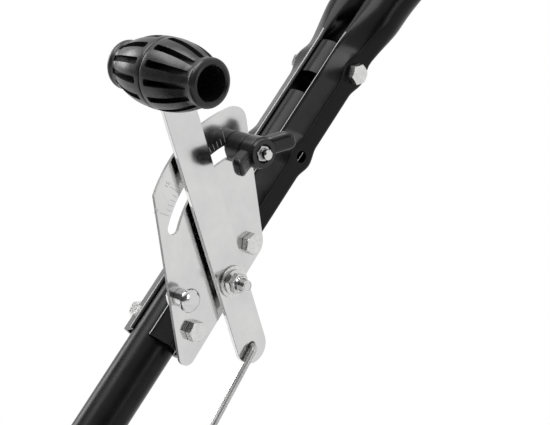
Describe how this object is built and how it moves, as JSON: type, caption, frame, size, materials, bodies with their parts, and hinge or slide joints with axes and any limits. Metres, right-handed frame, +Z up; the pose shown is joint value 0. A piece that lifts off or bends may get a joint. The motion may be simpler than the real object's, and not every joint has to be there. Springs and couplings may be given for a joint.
{
  "type": "broadcast spreader",
  "caption": "Walk-behind broadcast spreader: round hopper over a geared spinner, wheels and stand, with a lever, gauge plate and settable stop on the handle column.",
  "frame": {"origin": "on the ground, midway between the hopper's front rim and the far side of the hand grips, in the column's plane", "axes": "+Z up, +Y from the hopper to the user, +X to the gauge plate's side, along the axle"},
  "size_m": [0.584, 1.1414, 1.0856],
  "materials": {
    "black_paint": "gloss",
    "zinc": "satin",
    "bright_steel": "satin",
    "black_plastic": "satin",
    "grey_plastic": "matte",
    "nylon": "matte",
    "hopper_plastic": "matte",
    "soft_rubber": "matte",
    "tyre_rubber": "matte"
  },
  "bodies": {
    "frame": {"axle_bush_left": "nylon", "axle_bush_right": "nylon", "axle_hanger_left": "black_paint", "axle_hanger_right": "black_paint", "closed_stop_bolt": "zinc", "column_gusset_left": "black_paint", "column_gusset_right": "black_paint", "column_spacer": "black_paint", "column_tube": "black_paint", "frame_rail_left": "black_paint", "frame_rail_right": "black_paint", "front_cross_tube": "black_paint", "gate_guide_left": "bright_steel", "gate_guide_right": "bright_steel", "gauge_bolt_lower": "bright_steel", "gauge_bolt_upper": "bright_steel", "gauge_plate": "zinc", "gearbox_lower": "grey_plastic", "gearbox_strap": "bright_steel", "gearbox_upper": "grey_plastic", "gusset_bolt_lower": "bright_steel", "gusset_bolt_upper": "bright_steel", "hand_grip_left": "soft_rubber", "hand_grip_right": "soft_rubber", "handle_bolt": "bright_steel", "handle_loop": "black_paint", "hopper": "hopper_plastic", "hopper_deck": "black_paint", "leg_cross_tube": "black_paint", "leg_foot_left": "soft_rubber", "leg_foot_right": "soft_rubber", "pivot_bolt": "bright_steel", "pivot_nut": "bright_steel", "pivot_spacer": "nylon", "pivot_washer": "bright_steel", "rear_cross_tube": "black_paint", "shaft_bush": "nylon"},
    "lever": {"lever": "zinc", "lever_grip_inner": "black_plastic", "lever_grip_outer": "black_plastic"},
    "control_rod": {"control_rod": "zinc", "rod_clip": "bright_steel"},
    "gate": {"gate_plate": "bright_steel"},
    "adjustable_stop": {"stop_bolt": "bright_steel", "stop_sleeve": "black_plastic"},
    "knob": {"stop_knob": "black_plastic", "knob_nut": "bright_steel"},
    "drive_axle": {"axle": "bright_steel", "drive_gear": "bright_steel", "rim_right": "grey_plastic", "tyre_right": "tyre_rubber", "axle_clip_left": "bright_steel", "axle_clip_right": "bright_steel"},
    "left_wheel": {"rim_left": "grey_plastic", "tyre_left": "tyre_rubber"},
    "spinner": {"spinner_shaft": "bright_steel", "pinion_gear": "bright_steel", "spinner": "grey_plastic", "agitator": "bright_steel"}
  },
  "joints": [
    {"name": "lever_hinge", "type": "hinge", "parent": "frame", "child": "lever", "pos_m": [0.0312, 0.20843, 0.71125], "axis": [1, 0, 0], "range_deg": [-10.5, 45]},
    {"name": "rod_hinge", "type": "hinge", "parent": "lever", "child": "control_rod", "pos_m": [0.0312, 0.22555, 0.66236], "axis": [1, 0, 0], "range_deg": [-42.5, 10.5]},
    {"name": "gate_slide", "type": "slide", "parent": "frame", "child": "gate", "axis": [0, 1, 0], "range_m": [-0.012, 0.0512]},
    {"name": "stop_hinge", "type": "hinge", "parent": "frame", "child": "adjustable_stop", "pos_m": [0.0258, 0.22927, 0.73283], "axis": [1, 0, 0], "range_deg": [-2.5, 12.5]},
    {"name": "knob_turn", "type": "hinge", "parent": "adjustable_stop", "child": "knob", "pos_m": [0.0281, 0.21809, 0.80112], "axis": [1, 0, 0], "continuous": true},
    {"name": "axle_spin", "type": "hinge", "parent": "frame", "child": "drive_axle", "pos_m": [0, -0.34474, 0.165], "axis": [1, 0, 0], "continuous": true},
    {"name": "left_wheel_spin", "type": "hinge", "parent": "drive_axle", "child": "left_wheel", "pos_m": [-0.23, -0.34474, 0.165], "axis": [1, 0, 0], "continuous": true},
    {"name": "spinner_spin", "type": "hinge", "parent": "frame", "child": "spinner", "pos_m": [0, -0.34474, 0.24], "axis": [0, 0, 1], "continuous": true}
  ],
  "couplings": [
    {"joint": "rod_hinge", "follows": "lever_hinge", "ratio": -0.9299},
    {"joint": "gate_slide", "follows": "lever_hinge", "m_per_rad": 0.065},
    {"joint": "spinner_spin", "follows": "axle_spin", "ratio": -4}
  ]
}
